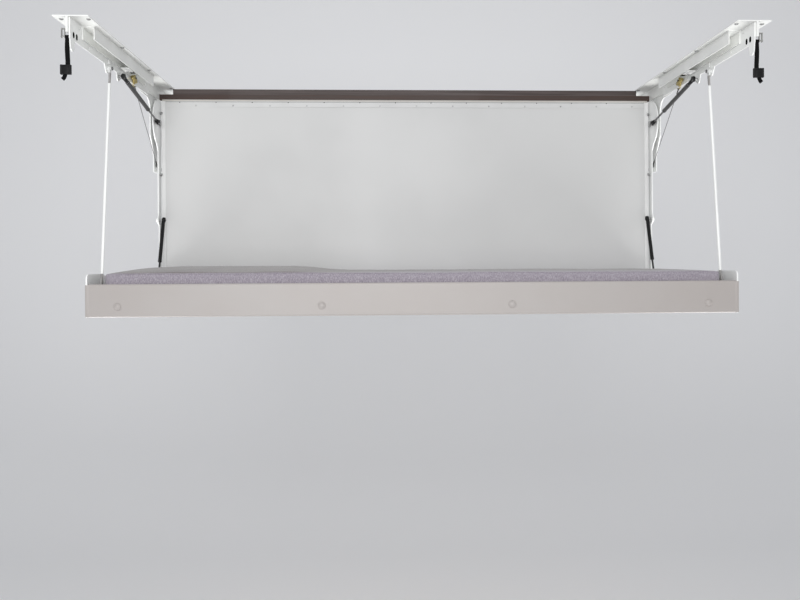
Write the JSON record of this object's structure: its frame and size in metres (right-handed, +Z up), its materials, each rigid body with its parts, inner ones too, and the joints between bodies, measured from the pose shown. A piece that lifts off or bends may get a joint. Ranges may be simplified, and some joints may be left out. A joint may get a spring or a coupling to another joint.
{
  "type": "fold-down overhead bunk",
  "caption": "Overhead bunk that hangs from ceiling rails: level bed with mattress on swing arms, stays and gas struts, with a white back board.",
  "frame": {"origin": "centre of the ceiling rails' screw pattern, on the ceiling", "axes": "+X across the vehicle along the bed, +Y from the near side to the back board, +Z up into the ceiling"},
  "size_m": [1.97, 1.08, 0.829],
  "materials": {
    "black_plastic": "moulded",
    "brass": "passivated",
    "dark_wood": "wood grain film",
    "mattress_fabric": "heathered weave",
    "plywood": "raw plywood",
    "strut_rod": "polished",
    "strut_tube": "black enamel",
    "vinyl": "soft wrapped vinyl",
    "webbing": "woven strap",
    "white_board": "smooth white panel skin",
    "white_paint": "satin powder coat",
    "zinc_steel": "zinc plated"
  },
  "bodies": {
    "ceiling_frame": {"buckles": "black_plastic", "cable_fittings": "brass", "cables": "zinc_steel", "header": "dark_wood", "leg_left": "white_paint", "leg_right": "white_paint", "lug_plate_left": "white_paint", "lug_plate_right": "white_paint", "panel_pivots": "zinc_steel", "rail_inner_left": "white_paint", "rail_inner_right": "white_paint", "rail_outer_left": "white_paint", "rail_outer_right": "white_paint", "stay_pins_upper": "zinc_steel", "stop_bolts": "zinc_steel", "strap_clevises": "white_paint", "straps": "webbing", "track_left": "white_paint", "track_right": "white_paint", "upper_strut_studs": "zinc_steel"},
    "panel": {"arm_left": "white_paint", "arm_right": "white_paint", "arm_spacers": "zinc_steel", "board": "white_board", "edge_channel_left": "white_paint", "edge_channel_right": "white_paint", "lower_strut_studs": "zinc_steel", "top_strip": "white_board"},
    "bed": {"bed_pivots": "zinc_steel", "deck": "plywood", "fascia": "vinyl", "fascia_buttons": "vinyl", "frame_cross": "white_paint", "frame_far": "white_paint", "frame_near": "white_paint", "frame_side_left": "white_paint", "frame_side_right": "white_paint", "lower_strut_brackets": "white_paint", "mattress": "mattress_fabric", "side_plate_left": "white_paint", "side_plate_right": "white_paint", "side_ties": "white_paint", "stay_pins_lower": "zinc_steel"},
    "lower_rod_left": {"lower_strut_rod_left": "strut_rod"},
    "lower_rod_right": {"lower_strut_rod_right": "strut_rod"},
    "lower_tube_left": {"lower_strut_tube_left": "strut_tube"},
    "lower_tube_right": {"lower_strut_tube_right": "strut_tube"},
    "stay_left": {"stay_left": "zinc_steel", "stay_sleeve_left": "white_paint"},
    "stay_right": {"stay_right": "zinc_steel", "stay_sleeve_right": "white_paint"},
    "upper_rod_left": {"upper_strut_rod_left": "strut_rod"},
    "upper_rod_right": {"upper_strut_rod_right": "strut_rod"},
    "upper_tube_left": {"upper_strut_tube_left": "strut_tube"},
    "upper_tube_right": {"upper_strut_tube_right": "strut_tube"}
  },
  "joints": [
    {"name": "panel_swing", "type": "hinge", "parent": "ceiling_frame", "child": "panel", "pos_m": [0, 0.43, -0.14], "axis": [-1, 0, 0], "range_deg": [0, 76]},
    {"name": "bed_level", "type": "hinge", "parent": "panel", "child": "bed", "pos_m": [0, 0.34, -0.812], "axis": [-1, 0, 0], "range_deg": [-76, 0]},
    {"name": "stay_swing_left", "type": "hinge", "parent": "ceiling_frame", "child": "stay_left", "pos_m": [-0.932, -0.163, -0.07], "axis": [-1, 0, 0], "range_deg": [0, 76]},
    {"name": "upper_strut_turn_left", "type": "hinge", "parent": "ceiling_frame", "child": "upper_tube_left", "pos_m": [-0.926, -0.05, -0.07], "axis": [-1, 0, 0], "range_deg": [-8.87, 0]},
    {"name": "upper_strut_slide_left", "type": "slide", "parent": "upper_tube_left", "child": "upper_rod_left", "axis": [0, 0.9847, -0.1742], "range_m": [0, 0.02063]},
    {"name": "lower_strut_turn_left", "type": "hinge", "parent": "panel", "child": "lower_tube_left", "pos_m": [-0.921, 0.429, -0.503], "axis": [-1, 0, 0], "range_deg": [0, 6.2]},
    {"name": "lower_strut_slide_left", "type": "slide", "parent": "lower_tube_left", "child": "lower_rod_left", "axis": [0, -0.3366, -0.9417], "range_m": [0, 0.04877]},
    {"name": "stay_swing_right", "type": "hinge", "parent": "ceiling_frame", "child": "stay_right", "pos_m": [0.932, -0.163, -0.07], "axis": [-1, 0, 0], "range_deg": [0, 76]},
    {"name": "upper_strut_turn_right", "type": "hinge", "parent": "ceiling_frame", "child": "upper_tube_right", "pos_m": [0.926, -0.05, -0.07], "axis": [-1, 0, 0], "range_deg": [-8.87, 0]},
    {"name": "upper_strut_slide_right", "type": "slide", "parent": "upper_tube_right", "child": "upper_rod_right", "axis": [0, 0.9847, -0.1742], "range_m": [0, 0.02063]},
    {"name": "lower_strut_turn_right", "type": "hinge", "parent": "panel", "child": "lower_tube_right", "pos_m": [0.921, 0.429, -0.503], "axis": [-1, 0, 0], "range_deg": [0, 6.2]},
    {"name": "lower_strut_slide_right", "type": "slide", "parent": "lower_tube_right", "child": "lower_rod_right", "axis": [0, -0.3366, -0.9417], "range_m": [0, 0.04877]}
  ],
  "couplings": [
    {"joint": "bed_level", "follows": "panel_swing", "ratio": -1},
    {"joint": "stay_swing_left", "follows": "panel_swing", "ratio": 1},
    {"joint": "upper_strut_turn_left", "follows": "panel_swing", "ratio": -0.11599},
    {"joint": "upper_strut_slide_left", "follows": "panel_swing", "m_per_rad": 0.015476},
    {"joint": "lower_strut_turn_left", "follows": "panel_swing", "ratio": 0.080894},
    {"joint": "lower_strut_slide_left", "follows": "panel_swing", "m_per_rad": 0.036694},
    {"joint": "stay_swing_right", "follows": "panel_swing", "ratio": 1},
    {"joint": "upper_strut_turn_right", "follows": "panel_swing", "ratio": -0.11599},
    {"joint": "upper_strut_slide_right", "follows": "panel_swing", "m_per_rad": 0.015476},
    {"joint": "lower_strut_turn_right", "follows": "panel_swing", "ratio": 0.080894},
    {"joint": "lower_strut_slide_right", "follows": "panel_swing", "m_per_rad": 0.036694}
  ]
}
